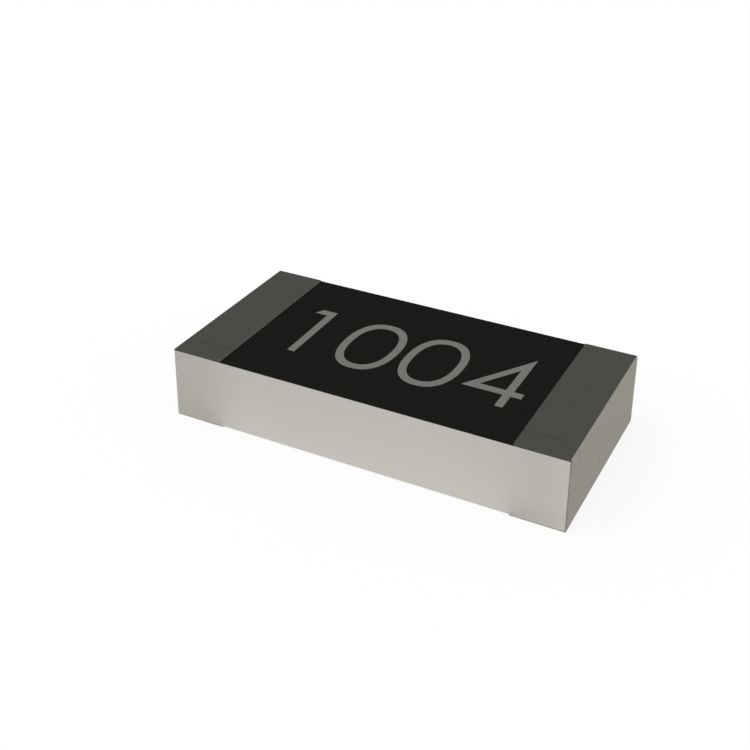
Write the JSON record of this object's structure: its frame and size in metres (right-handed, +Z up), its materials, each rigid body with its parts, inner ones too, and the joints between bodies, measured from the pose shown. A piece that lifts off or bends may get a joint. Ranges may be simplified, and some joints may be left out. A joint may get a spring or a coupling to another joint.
{
  "type": "smd chip resistor",
  "caption": "Flat ceramic chip resistor with wrap-around tinned terminals, a black overcoat with a printed value code, and a trimmed thick film sealed inside.",
  "frame": {"origin": "middle of the footprint, on the plane of the solder lands", "axes": "+X along the part from the left terminal to the right one, +Y across it, +Z up through the marked side"},
  "size_m": [0.0032, 0.0016, 0.0006],
  "materials": {
    "alumina": "fired and sawn, matt",
    "silver_paste": "fired silver, matt",
    "edge_metal": "thin sputtered metal",
    "nickel": "plated, satin",
    "tin": "plated, matt",
    "cermet_film": "fired thick film, dark",
    "seal_glass": "fired glass glaze",
    "black_coat": "printed black coat, satin",
    "marking_ink": "printed grey ink, matt"
  },
  "bodies": {
    "root": {"ceramic_substrate": "alumina", "top_electrode_left": "silver_paste", "top_electrode_right": "silver_paste", "back_electrode_left": "silver_paste", "back_electrode_right": "silver_paste", "resistive_film": "cermet_film", "glass_undercoat": "seal_glass", "overcoat": "black_coat", "edge_electrode_left": "edge_metal", "edge_electrode_right": "edge_metal", "nickel_barrier_left": "nickel", "nickel_barrier_right": "nickel", "tin_plating_left": "tin", "tin_plating_right": "tin"}
  },
  "joints": []
}
